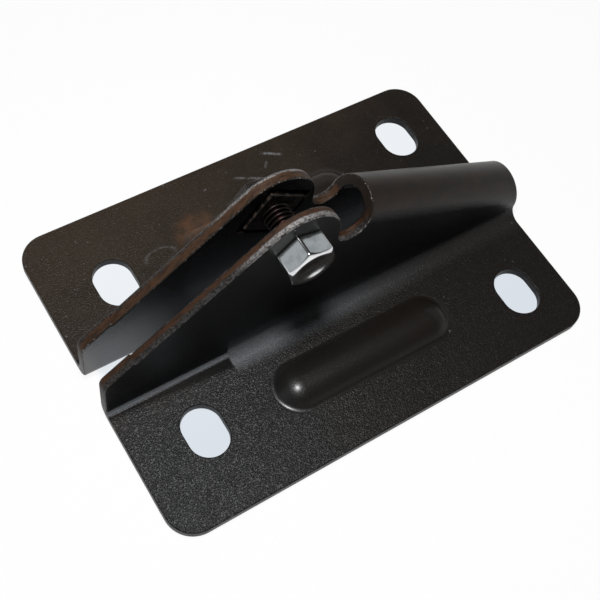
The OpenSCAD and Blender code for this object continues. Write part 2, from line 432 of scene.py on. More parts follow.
@dataclass(frozen=True)
class BlackPaint:
    """Old black paint: grainy on the flanges and rusty on sheared edges, with painted sheen and glints at
    the front left, a painted highlight in the bends, and painted shade on upright faces, on the ridge's
    inner faces and on the pressed band.

    A pair of numbers in a mask is where a change starts and where it ends. Lengths are in millimetres.

    Attributes:
        layout: Where things are.
        name: The material's name.
        deep: The paint's own black.
        faded: The paint at the rear left.
        sheen_tint: Painted sheen: a colder tint of the paint at the front left.
        upright: Painted shade: the darker paint on upright faces.
        brown: Wear along the crest.
        inner_shade: Painted shade on the inner faces of the ridge, under the crest.
        pressed_shade: Painted shade on the band that the press left.
        bend_sheen: A painted grey highlight in the bends.
        grit_and_glints: Pale grains, and painted glints of sheen.
        rust: Rust on the front ear's sheared edge.
        gold_rust: The same on the rear ear.
        dark_rust: The darkest rust on both.
        bare: Bare metal.
        burnish: The smooth outer half of a sheared edge.
        scuff: Scratches and dust.
        patch_rust: The rust patch on the rear bead.
        gloss: How much light the paint mirrors.
        grain_size: Size of the paint's grains.
        ripple_size: Size of the low waves under the grains.
        mottle_size: Size of its cloudy patches.
        speckle_size: Size of the specks on the sheared edges.
        grain_depth: Height of the grains, in metres.
        bead_x: X of the beads' middle.
        bead_off: Distance of their middle line from the ridge's outer faces.
        bead_half_run: Half the length of that line.
        bead_half_w: Half their width with their blends.
        ring_centre: Middle of the ring scuff, as X and Y.
        ring_radius: Its radius along X and Y.
        patch_centre: Middle of the rust patch, as X and Y.
        patch_radius: Its radius along X and Y.
        scratches: The scratches on the rear flange.
    """

    layout: Layout
    name: str = "black_paint_on_steel"
    deep: tuple = (0.0100, 0.0080, 0.0066, 1)
    faded: tuple = (0.0330, 0.0232, 0.0155, 1)
    sheen_tint: tuple = (0.0100, 0.0102, 0.0108, 1)
    upright: tuple = (0.0042, 0.0044, 0.0047, 1)
    brown: tuple = (0.0150, 0.0094, 0.0064, 1)
    inner_shade: tuple = (0.0015, 0.0015, 0.0015, 1)
    pressed_shade: tuple = (0.0050, 0.0047, 0.0045, 1)
    bend_sheen: tuple = (0.0950, 0.1020, 0.1100, 1)
    grit_and_glints: tuple = (0.1700, 0.1720, 0.1760, 1)
    rust: tuple = (0.0400, 0.0180, 0.0090, 1)
    gold_rust: tuple = (0.0480, 0.0235, 0.0120, 1)
    dark_rust: tuple = (0.0140, 0.0085, 0.0060, 1)
    bare: tuple = (0.4200, 0.4000, 0.3900, 1)
    burnish: tuple = (0.0450, 0.0440, 0.0440, 1)
    scuff: tuple = (0.1500, 0.1500, 0.1550, 1)
    patch_rust: tuple = (0.1050, 0.0480, 0.0215, 1)
    gloss: float = 0.14
    grain_size: float = 0.30
    ripple_size: float = 0.9
    mottle_size: float = 9.0
    speckle_size: float = 0.45
    grain_depth: float = 0.19 * MM
    bead_x: float = 1.3
    bead_off: float = 13.9
    bead_half_run: float = 16.6
    bead_half_w: float = 6.4
    ring_centre: tuple[float, float] = (-26.2, 21.3)
    ring_radius: tuple[float, float] = (3.6, 1.9)
    patch_centre: tuple[float, float] = (-15.5, 23.0)
    patch_radius: tuple[float, float] = (6.5, 6.0)
    scratches: tuple = (
        Scratch((-1.2, 32.5), (5.7, 29.0), 0.45, 0.8),
        Scratch((8.4, 35.9), (13.7, 32.9), 0.55, 0.9),
        Scratch((7.3, 31.3), (8.9, 33.2), 0.5, 0.4),
        Scratch((-8.9, 32.2), (-8.1, 32.6), 0.4, 0.5),
    )

    def build(self) -> bpy.types.Material:
        """Makes the material.

        Returns:
            The paint, which reads the attributes shear and rim.
        """
        material, graph = new_material(self.name)
        point = SheetPoint(graph, self.layout)
        mottle = point.noise(self.mottle_size, 3.0)
        level, flange_top = (0.6, 0.9), (4.0, 3.0)
        top = point.up.ramp(*level) * point.z.ramp(*flange_top)
        grain = point.noise(self.grain_size, 1.0)
        pressed_shade = self.pressed_band(point) * top
        # painted highlight: grey sheen painted along the bends, broken up by the grain
        bend_sheen = self.painted_bend_sheen(point) * (0.55 + grain * 0.9)
        worn = self.marks(point) * top
        patch = self.rust_patch(point)
        speckle = point.noise(self.speckle_size, 3.0, 0.6)
        fracture, browns = self.fracture(point)
        shine = self.shine(point, speckle, fracture)
        bead = self.bead(point)
        facing_in = point.inwards.ramp(0.3, 1.2).either(point.up.ramp(-0.2, -0.5))
        inner = point.depth.ramp(0.93, 0.99) * facing_in * (1.0 - point.shear)
        on_face = abs(point.outside).ramp(0.2, 0.1)
        seat = point.reach.ramp(14.0, 9.0) * on_face * point.y.ramp(0.0, -1.0)
        crest = self.crest(point)

        colour = self.ground(point, mottle)
        # painted shade: the ridge's inner faces under the crest are darkened almost to black
        colour = graph.mix(inner * point.x.ramp(-6.0, -2.0), colour, self.inner_shade)
        gritty = top * (1.0 - pressed_shade.either(bead * 0.8))
        # pale grains everywhere, and painted glints of sheen gathered at the front left
        colour = graph.mix(self.grit_and_glint_share(point, grain) * gritty, colour, self.grit_and_glints)
        # painted shade: the pressed band is darkened, besides its smoother finish
        colour = graph.mix(pressed_shade * 0.7, colour, self.pressed_shade)
        # painted highlight: the bends turn grey where the sheen is painted
        colour = graph.mix(bend_sheen, colour, self.bend_sheen)
        colour = graph.mix(worn, colour, self.scuff)
        colour = graph.mix(patch, colour, self.patch_rust)
        sheared = graph.mix(speckle.ramp(0.4, 0.65), self.deep, self.burnish)
        colour = graph.mix(point.shear, colour, graph.mix(fracture, sheared, browns))
        colour = graph.mix(shine, colour, self.bare)

        smooth = pressed_shade.either(bead * 0.7).either(point.shear * 0.5)
        smooth = smooth.either(inner * 0.7).either(crest * 0.85)
        bumps = (grain * 0.9 + point.noise(self.ripple_size, 1.0) * 0.1) * (1.0 - smooth * 0.85)
        roughness = 0.36 + (mottle - 0.5) * 0.12 - pressed_shade * 0.10 - inner * 0.10
        graph.surface(
            Base_Color=colour,
            Specular_IOR_Level=self.gloss,
            Roughness=roughness + point.shear * 0.2 + patch * 0.15 + worn * 0.1,
            Metallic=shine * 0.85,
            Coat_Weight=(seat * 0.5).either(inner * 0.55).either(bead * 0.4),
            Coat_Roughness=0.25,
            Normal=graph.bump(bumps + point.shear * speckle * 0.6, self.grain_depth),
        )
        return material

    def ground(self, point: SheetPoint, mottle: Value) -> bpy.types.NodeSocket:
        """The paint's colour, browner to the rear left and along the crest, with a painted sheen tint at
        the front left and painted shade on upright faces.

        Args:
            point: The point.
            mottle: Coarse noise that blurs the change.

        Returns:
            The colour.
        """
        lean, blur, fade = 0.35, 40.0, (-6.0, 56.0)
        rear_left = point.y - point.x * lean + (mottle - 0.5) * blur
        # painted sheen: the paint turns colder at the front left
        colour = point.graph.mix(self.front_left_sheen(point), self.deep, self.sheen_tint)
        colour = point.graph.mix(rear_left.ramp(*fade), colour, self.faded)
        # painted shade: upright faces get a darker colour
        colour = point.graph.mix(abs(point.up).ramp(0.5, 0.15), colour, self.upright)
        stretch, wear_size = (0.3, 1.0, 1.0), 2.2
        lengthways = point.graph.vector("MULTIPLY", point.at, stretch)
        worn = point.graph.noise(lengthways, wear_size, 3.0, 0.6)
        crest = self.crest(point)
        colour = point.graph.mix(crest * worn.ramp(0.36, 0.62), colour, self.brown)
        return point.graph.mix(crest * worn.ramp(0.66, 0.74) * 0.5, colour, self.burnish)

    def crest(self, point: SheetPoint) -> Value:
        """The ridge's smooth rolled crest."""
        start, above, upward = (4.0, 6.0), (9.0, 12.0), (0.2, 0.6)
        return point.x.ramp(*start) * point.z.ramp(*above) * point.up.ramp(*upward)

    def front_left_sheen(self, point: SheetPoint) -> Value:
        """The grainy front left of the plate, where painted sheen goes: a colder tint and most of the
        pale glints.
        """
        leftwards, forwards, gather = (40.0, -44.0), (4.0, -6.0), 2.4
        return point.x.ramp(*leftwards) ** gather * point.y.ramp(*forwards)

    def grit_and_glint_share(self, point: SheetPoint, grain: Value) -> Value:
        """Pale grains in the paint and painted glints of sheen, most of them at the front left."""
        most, everywhere = 0.52, 0.04
        return grain.ramp(0.55, 0.72) * (self.front_left_sheen(point) * most + everywhere)

    def pressed_band(self, point: SheetPoint) -> Value:
        """The flat band that the press left in front of the ears' bend, wider towards the step; painted
        shade darkens it.
        """
        step = self.layout.step_x / MM
        bend_r, wide, growth, blur = self.layout.ear_bend_r / MM, 2.6, 0.06, 0.2
        front = (point.x - step) * growth + (bend_r + wide)
        inside = (front - point.outside).ramp(-0.8, 1.2) * point.outside.ramp(bend_r - 0.3, bend_r + 0.1)
        return inside * point.x.ramp(step + blur, step - blur)

    def painted_bend_sheen(self, point: SheetPoint) -> Value:
        """A painted grey highlight in the bends at the ridge's foot, strongest beside the step.

        Args:
            point: The point.

        Returns:
            How strong the painted highlight is.
        """
        step = self.layout.step_x / MM
        blur, fade, gather, most, least = 0.2, (42.0, -26.0), 1.6, 0.72, 0.08
        right = point.x.ramp(step - blur, step + blur)
        outer = point.outside.ramp(-0.3, -0.05)
        along = point.x.ramp(*fade) ** gather * most + least
        wide = point.outside.ramp(6.0, 2.4) * point.z.ramp(10.0, 3.6) * along
        narrow = point.outside.ramp(1.1, 0.5) * point.z.ramp(3.6, 2.9)
        return outer * (right * wide + (1.0 - right) * narrow)

    def bead(self, point: SheetPoint) -> Value:
        """The smooth bead on each flange, down to where its blend meets the flange."""
        blur = 0.3
        past_run = (abs(point.x - self.bead_x) - self.bead_half_run).either(0.0)
        off = point.outside - self.bead_off
        from_line = (past_run**2.0 + off**2.0) ** 0.5
        return from_line.ramp(self.bead_half_w + blur, self.bead_half_w - blur)

    def marks(self, point: SheetPoint) -> Value:
        """Scratches, a ring scuff and dust on the flanges."""
        total = self.ring(point)
        for scratch in self.scratches:
            total = total.either(scratch.mask(point.x, point.y))
        dust_size, break_size = 1.1, 0.7
        dust = point.noise(dust_size, 1.0).ramp(0.76, 0.79) * 0.5
        return (total * point.noise(break_size, 3.0, 0.7).ramp(0.3, 0.6)).either(dust)

    def ring(self, point: SheetPoint) -> Value:
        """A faint open ring on the rear flange."""
        away = point.oval(self.ring_centre, self.ring_radius)
        rear_half = (point.y - self.ring_centre[1]).ramp(-1.0, 0.5)
        return away.ramp(0.82, 0.95) * away.ramp(1.2, 1.05) * rear_half * 0.3

    def rust_patch(self, point: SheetPoint) -> Value:
        """Rust on the near end of the rear bead."""
        blotch_size = 3.0
        near = point.oval(self.patch_centre, self.patch_radius).ramp(1.15, 0.3)
        return near * point.noise(blotch_size, 3.0).ramp(0.25, 0.75)

    def fracture(self, point: SheetPoint) -> tuple[Value, bpy.types.NodeSocket]:
        """The rusty inner half of a sheared edge.

        Args:
            point: The point.

        Returns:
            Where it is, and its colour.
        """
        stretch, blotch_size = (0.4, 1.6, 0.4), 0.9
        lengthways = point.graph.vector("MULTIPLY", point.at, stretch)
        blotch = point.graph.noise(lengthways, blotch_size, 4.0, 0.65)
        middle, front_share, rear_less = self.layout.ridge_y / MM, 0.45, 0.2
        rear = point.y.ramp(middle - 1.0, middle + 1.0)
        rust = point.graph.mix(rear, self.rust, self.gold_rust)
        browns = point.graph.mix(blotch.ramp(0.32, 0.58), self.dark_rust, rust)
        edge = front_share - rear * rear_less
        return (point.depth + (blotch - 0.5) * 0.4 - edge).ramp(-0.06, 0.08), browns

    def shine(self, point: SheetPoint, speckle: Value, fracture: Value) -> Value:
        """Bare metal: burrs along the sheared edges, the ears' round ends and chips on the rims.

        Args:
            point: The point.
            speckle: Fine specks on the sheared edges.
            fracture: Where the edges are rusty.

        Returns:
            How much of the metal is bare.
        """
        fleck_size, chip_size = 0.55, 0.9
        round_end = point.reach.ramp(15.0, 9.0)
        cut = point.shear.either(point.rim)
        flecks = point.noise(fleck_size, 2.0, 0.6)
        on_wall = point.outside.ramp(0.5, 0.2) * point.z.ramp(3.0, 5.0)
        crest_end = point.x.ramp(2.0, 5.0) * 0.45
        outer = point.depth.ramp(0.18, 0.03) * on_wall
        burr = outer * cut * flecks.ramp(0.42, 0.6) * (round_end * 0.5).either(crest_end + 0.12)
        burnished = point.shear * round_end * (1.0 - fracture) * (speckle.ramp(0.35, 0.6) * 0.35 + 0.15)
        inside = point.depth.ramp(0.86, 0.97) * cut * flecks.ramp(0.58, 0.68) * 0.6
        chips = point.rim * point.noise(chip_size, 3.0, 0.6).ramp(0.66, 0.74) * 0.6
        return burr.either(burnished).either(inside).either(chips)


@dataclass(frozen=True)
class BrightPlating:
    """Bright plating on the screw's head, dark and warm along its thread.

    Attributes:
        layout: Where things are.
        name: The material's name.
        bright: Clean plating.
        cloudy: Dulled plating.
        groove: The dark, warm thread.
        lean: Slope beside the ear of the bump that swells the head's faces.
    """

    layout: Layout
    name: str = "bright_plating"
    bright: tuple = (0.80, 0.81, 0.82, 1)
    cloudy: tuple = (0.62, 0.63, 0.64, 1)
    groove: tuple = (0.014, 0.0056, 0.0046, 1)
    lean: float = 0.16

    def build(self) -> bpy.types.Material:
        """Makes the material.

        Returns:
            The plating.
        """
        material, graph = new_material(self.name)
        at = graph.millimetres()
        x, y, z = graph.split(at)
        pivot = self.layout.pivot / MM
        reach = ((x - pivot.x) ** 2.0 + (z - pivot.z) ** 2.0) ** 0.5
        seat, blur, crest_r, root_r = self.layout.front_face / MM, 0.3, 3.0, 2.55
        in_ears = y.ramp(seat - blur, seat + blur)
        cloud_size, fine_size, fine_depth = 2.2, 0.5, 0.012
        cloud = graph.noise(at, cloud_size, 3.0)
        colour = graph.mix(cloud.ramp(0.4, 0.75), self.bright, self.cloudy)
        dull = in_ears * reach.ramp(crest_r, root_r)
        colour = graph.mix(dull.either(in_ears * 0.97), colour, self.groove)
        fine = graph.noise(at, fine_size, 2.0)
        graph.surface(
            Base_Color=colour,
            Metallic=1.0,
            Roughness=0.09 + cloud * 0.06 + in_ears * 0.3,
            Normal=graph.bump((fine * 0.4 + cloud) * fine_depth + self.pillow(y), MM),
        )
        return material

    def pillow(self, y: Value) -> Value:
        """The gentle swell of the head's faces towards the ear, as a height in millimetres.

        Args:
            y: Y in millimetres.

        Returns:
            The height, which is steepest beside the ear and level at the head's end.
        """
        seat, height = self.layout.front_face / MM, self.layout.head_h / MM
        along = (seat - y).either(0.0)
        return (along**2.0 / (2.0 * height) - along) * self.lean


@dataclass(frozen=True)
class OldSteel:
    """Dark oiled steel with specks of rust, for the nut.

    Attributes:
        name: The material's name.
        oiled: The steel's own colour.
        rust: Colour of the specks.
        grain_depth: Height of the steel's grain, in metres.
    """

    name: str = "old_nut_steel"
    oiled: tuple = (0.016, 0.014, 0.013, 1)
    rust: tuple = (0.034, 0.022, 0.015, 1)
    grain_depth: float = 0.03 * MM

    def build(self) -> bpy.types.Material:
        """Makes the material.

        Returns:
            The steel.
        """
        material, graph = new_material(self.name)
        at = graph.millimetres()
        speck_size, grain_size = 1.2, 0.4
        speck = graph.noise(at, speck_size, 4.0, 0.65).ramp(0.45, 0.65)
        grain = graph.noise(at, grain_size, 2.0)
        graph.surface(
            Base_Color=graph.mix(speck, self.oiled, self.rust),
            Metallic=0.8 - speck * 0.6,
            Roughness=0.38 + speck * 0.3,
            Normal=graph.bump(grain + speck * 0.5, self.grain_depth),
        )
        return material


@dataclass(frozen=True)
class WhiteSweep:
    """White paper, which the camera sees as white and reflections see as a white floor with dim walls,
    with painted shade under the plate and under the ridge.

    A pair of numbers is where a change starts and where it ends, in millimetres.

    Attributes:
        name: The material's name.
        paper: Colour of the paper for the light that falls on it.
        white: Colour of the bare floor, in the picture and in reflections.
        shade: Colour of the floor under the plate's front, which shows in its slots.
        light_shade: The same under the plate's rear.
        wall: Colour of the walls in reflections, at the left and the rear.
        low_front: The same low on the front wall.
        low_right: The same low on the right wall.
        dark: Colour in reflections of the upper front wall, and painted shade on the floor deep in the
            ridge.
        glow: Share of the paper that is plain white.
        plate_half: Half the length and width of the shaded floor under the plate.
        shade_blur: How far inside those limits the shade is full.
        floor_level: Height of the floor, against the walls.
        shade_turn: Y over which the shade grows lighter.
        ridge_side: Distance from the ridge's middle that counts as under it.
        ridge_end: The same along the ridge.
        ridge_deep: X over which the painted shade on the floor under the ridge grows dark.
        front_rise: Height over which the front wall grows dark.
        right_rise: Height over which the right wall grows light.
        front_turn: Y over which the front wall turns into the side walls.
        right_turn: X over which the left wall turns into the right one.
        wall_foot: Height over which the floor turns into the walls.
    """

    name: str = "white_sweep"
    paper: tuple = (0.86, 0.86, 0.86, 1)
    white: tuple = (1.0, 1.0, 1.0, 1)
    shade: tuple = (0.70, 0.75, 0.81, 1)
    light_shade: tuple = (0.86, 0.89, 0.92, 1)
    wall: tuple = (0.41, 0.44, 0.445, 1)
    low_front: tuple = (0.55, 0.55, 0.55, 1)
    low_right: tuple = (0.14, 0.13, 0.12, 1)
    dark: tuple = (0.04, 0.04, 0.045, 1)
    glow: float = 0.93
    plate_half: tuple[float, float] = (52.0, 37.0)
    shade_blur: float = 3.0
    floor_level: tuple[float, float] = (2.0, 1.0)
    shade_turn: tuple[float, float] = (-26.0, 26.0)
    ridge_side: tuple[float, float] = (8.0, 4.0)
    ridge_end: tuple[float, float] = (56.0, 54.0)
    ridge_deep: tuple[float, float] = (-50.0, -26.0)
    front_rise: tuple[float, float] = (230.0, 340.0)
    right_rise: tuple[float, float] = (200.0, 330.0)
    front_turn: tuple[float, float] = (-240.0, -60.0)
    right_turn: tuple[float, float] = (60.0, 200.0)
    wall_foot: tuple[float, float] = (20.0, 110.0)

    def build(self) -> bpy.types.Material:
        """Makes the material.

        Returns:
            The paper.
        """
        material, graph = new_material(self.name)
        x, y, z = graph.split(graph.millimetres())
        path = graph.node("ShaderNodeLightPath").outputs
        camera = Value(graph, path["Is Camera Ray"])
        mirrored = Value(graph, path["Is Glossy Ray"]).either(Value(graph, path["Is Transmission Ray"]))
        half_x, half_y = self.plate_half
        on_floor = z.ramp(*self.floor_level)
        inside_x = abs(x).ramp(half_x, half_x - self.shade_blur)
        inside_y = abs(y).ramp(half_y, half_y - self.shade_blur)
        under = inside_x * inside_y * on_floor
        shaded = graph.mix(y.ramp(*self.shade_turn), self.shade, self.light_shade)
        floor = graph.mix(under, self.white, shaded)
        # painted shade: the floor under the ridge turns dark in reflections
        below_ridge = abs(y).ramp(*self.ridge_side) * abs(x).ramp(*self.ridge_end)
        in_ridge = below_ridge * x.ramp(*self.ridge_deep) * on_floor
        front = graph.mix(z.ramp(*self.front_rise), self.low_front, self.dark)
        right = graph.mix(z.ramp(*self.right_rise), self.low_right, self.wall)
        sides = graph.mix(x.ramp(*self.right_turn), self.wall, right)
        wall = graph.mix(y.ramp(*self.front_turn), front, sides)
        reflected = graph.mix(z.ramp(*self.wall_foot), graph.mix(in_ridge, floor, self.dark), wall)
        seen = graph.mix(camera, reflected, floor)
        lit = graph.mix(under, self.paper, self.shade)
        paper = graph.node("ShaderNodeBsdfDiffuse", None, {"Color": lit})
        glow = graph.node("ShaderNodeEmission", None, {"Color": seen, "Strength": 1.0})
        share = camera.either(mirrored) * self.glow
        shaders = {0: share, 1: paper.outputs[0], 2: glow.outputs[0]}
        blend = graph.node("ShaderNodeMixShader", None, shaders)
        graph.node("ShaderNodeOutputMaterial", None, {"Surface": blend.outputs[0]})
        return material


def piece(name: str, mesh: bpy.types.Mesh, material: bpy.types.Material) -> bpy.types.Object:
    """Puts a finished mesh in the scene as a piece that rides on the bracket's one body.

    Args:
        name: The piece's name.
        mesh: Its mesh, in the frame's own place.
        material: Its finish.

    Returns:
        The piece.
    """
    mesh.materials.clear()
    mesh.materials.append(material)
    mesh.polygons.foreach_set("material_index", [0] * len(mesh.polygons))
    made = add_object(name, mesh)
    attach(made, BODY)
    LOG.info("%s: %d faces", name, len(mesh.polygons))
    return made


def evaluated_mesh(maker: bpy.types.Object) -> bpy.types.Mesh:
    """A plain mesh of an object with its modifiers, and the end of that object.

    Args:
        maker: A temporary object with modifiers.

    Returns:
        The mesh that the modifiers make.
    """
    bpy.context.view_layer.update()
    graph = bpy.context.evaluated_depsgraph_get()
    mesh = bpy.data.meshes.new_from_object(maker.evaluated_get(graph), depsgraph=graph)
    bpy.data.objects.remove(maker)
    return mesh


def whole_copy(node: str) -> bmesh.types.BMesh:
    """A CAD node's mesh with its loose triangles joined and its flat faces made whole.

    Args:
        node: The node's name.

    Returns:
        The copy.
    """
    weld, flat = 0.002 * MM, math.radians(0.3)
    copy = bmesh.new()
    copy.from_mesh(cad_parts[node].data)
    bmesh.ops.remove_doubles(copy, verts=copy.verts, dist=weld)
    bmesh.ops.dissolve_limit(copy, angle_limit=flat, verts=copy.verts, edges=copy.edges, delimit=set())
    return copy


def rounded(
    copy: bmesh.types.BMesh, width: float, skip: Callable[[Vector], bool]
) -> bpy.types.Mesh:
    """Rounds the sharp edges of a mesh and marks what it rounds with the attribute rim.

    Args:
        copy: The mesh, which is used up.
        width: How far back from an edge the round begins.
        skip: Tells from an edge's middle whether it stays sharp.

    Returns:
        The rounded mesh.
    """
    sharp, crease, inside_share, rim_slot, steps = math.radians(30), math.radians(38), 0.6, 1, 3
    weight = copy.edges.layers.float.new("bevel_weight_edge")
    for edge in copy.edges:
        middle = (edge.verts[0].co + edge.verts[1].co) / 2
        if edge.calc_face_angle() > sharp and not skip(middle):
            edge[weight] = 1.0 if edge.is_convex else inside_share
    mesh = bpy.data.meshes.new("rounding")
    copy.to_mesh(mesh)
    copy.free()
    for _ in range(rim_slot + 1):
        mesh.materials.append(None)
    maker = add_object("rounding", mesh)
    bevel = maker.modifiers.new("round", "BEVEL")
    bevel.limit_method = "WEIGHT"
    bevel.width = width
    bevel.segments = steps
    bevel.use_clamp_overlap = False
    bevel.loop_slide = False
    bevel.miter_outer = "MITER_ARC"
    bevel.material = rim_slot
    made = evaluated_mesh(maker)
    bpy.data.meshes.remove(mesh)
    mark_rims(made, rim_slot)
    made.shade_smooth()
    made.set_sharp_from_angle(angle=crease)
    return weighted(made)


def mark_rims(mesh: bpy.types.Mesh, rim_slot: int) -> None:
    """Writes the attribute rim: 1 inside a rounded edge and 0 on the faces beside it.

    Args:
        mesh: The rounded mesh.
        rim_slot: The material index that the rounding left on its own faces.
    """
    inside = np.ones(len(mesh.vertices), np.float32)
    for face in mesh.polygons:
        if face.material_index != rim_slot:
            inside[list(face.vertices)] = 0.0
    mesh.attributes.new("rim", "FLOAT", "POINT").data.foreach_set("value", inside)


def weighted(mesh: bpy.types.Mesh) -> bpy.types.Mesh:
    """Keeps large faces flat by weighting the normals with the faces' areas.

    Args:
        mesh: A smooth-shaded mesh, which is used up.

    Returns:
        The mesh with its new normals.
    """
    maker = add_object("weighting", mesh)
    normals = maker.modifiers.new("weigh", "WEIGHTED_NORMAL")
    normals.keep_sharp = True
    return evaluated_mesh(maker)


@dataclass
class FoldedSheet:
    """The bracket's one folded sheet, with rounded edges.

    Attributes:
        layout: Where things are.
        node: The CAD node that it stands for.
        edge_round: How far back from an edge its round begins.
        shoulder: How far the shoulder between the two bend radii leans.
        shoulder_reach: Distance along X from the step within which edges stay sharp.
        shoulder_top: Height below which they do.
        boss_rear_y: Y behind which the nut's boss keeps its sharp edges.
        boss_low_z: Height above which it does.
        mouth_reach: Distance from the screw within which the pocket's mouth stays sharp.
    """

    layout: Layout
    node: str = "bracket"
    edge_round: float = 0.38 * MM
    shoulder: float = 0.9
    shoulder_reach: float = 3.2 * MM
    shoulder_top: float = 6.0 * MM
    boss_rear_y: float = 7.2 * MM
    boss_low_z: float = 20.0 * MM
    mouth_reach: float = 9.2 * MM

    def build(self, paint: bpy.types.Material) -> bpy.types.Object:
        """Builds and dresses the sheet.

        Args:
            paint: Its finish.

        Returns:
            The piece, which stands for the CAD node.
        """
        copy = whole_copy(self.node)
        self.lean_shoulders(copy)
        mesh = rounded(copy, self.edge_round, self.stays_sharp)
        self.mark_shear(mesh)
        made = piece("folded_sheet", mesh, paint)
        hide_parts(self.node)
        return made

    def stays_sharp(self, middle: Vector) -> bool:
        """Whether an edge is on the bends' shoulder, the boss's rear face or the mouth of its pocket.

        Args:
            middle: The edge's middle.

        Returns:
            True where a round would fold the faces beside it.
        """
        layout, near = self.layout, 0.05 * MM
        above_ground = middle.z != 0
        at_step = abs(middle.x - layout.step_x) < self.shoulder_reach and middle.z < self.shoulder_top
        behind_boss = middle.y > self.boss_rear_y and middle.z > self.boss_low_z
        off = middle - layout.pivot
        inner_y = layout.ridge_y + layout.ridge_gap / 2
        at_mouth = abs(middle.y - inner_y) < near and math.hypot(off.x, off.z) < self.mouth_reach
        return (at_step and above_ground) or behind_boss or at_mouth

    def lean_shoulders(self, copy: bmesh.types.BMesh) -> None:
        """Leans the shoulders back, as a press leaves them.

        Args:
            copy: The sheet's mesh, before its edges are rounded.
        """
        layout = self.layout
        radius, near = layout.crest_bend_r, 0.002 * MM
        height = layout.sheet_t + radius
        for vert in copy.verts:
            off = abs(vert.co.y - layout.ridge_y) - layout.wall_out - radius
            from_centre = math.hypot(off, vert.co.z - height)
            if abs(vert.co.x - layout.step_x) < near and abs(from_centre - radius) < near:
                into_corner = radius - max(-off, height - vert.co.z)
                vert.co.x += self.shoulder * into_corner

    def mark_shear(self, mesh: bpy.types.Mesh) -> None:
        """Writes the attribute shear: 1 on the edges that the shear left on the ears and the notch.

        Args:
            mesh: The rounded sheet.
        """
        layout = self.layout
        flat_to_side, half, rim = 0.08, 0.5, mesh.attributes["rim"].data
        low = layout.sheet_t + layout.ear_bend_r + self.edge_round
        reach = layout.pivot.x + layout.notch_reach
        shear = np.zeros(len(mesh.vertices), np.float32)
        for face in mesh.polygons:
            middle = face.center
            upright = abs(face.normal.y) < flat_to_side and low < middle.z
            in_wall = abs(middle.y - layout.ridge_y) < layout.wall_out
            on_step = abs(middle.x - layout.step_x) < self.edge_round and middle.z < 2 * low
            crest_top = middle.x > reach
            in_rim = all(rim[v].value > half for v in face.vertices)
            if upright and in_wall and not (on_step or crest_top or in_rim):
                shear[list(face.vertices)] = 1.0
        mesh.attributes.new("shear", "FLOAT", "POINT").data.foreach_set("value", shear)


def melted(limits: np.ndarray, hardness: float) -> np.ndarray:
    """The largest of several distances, blended where they are nearly equal.

    Args:
        limits: A row of distances for each limit, in millimetres.
        hardness: How sharp the blend is, per millimetre.

    Returns:
        The blended distances.
    """
    return np.log(np.exp(hardness * limits).sum(0)) / hardness


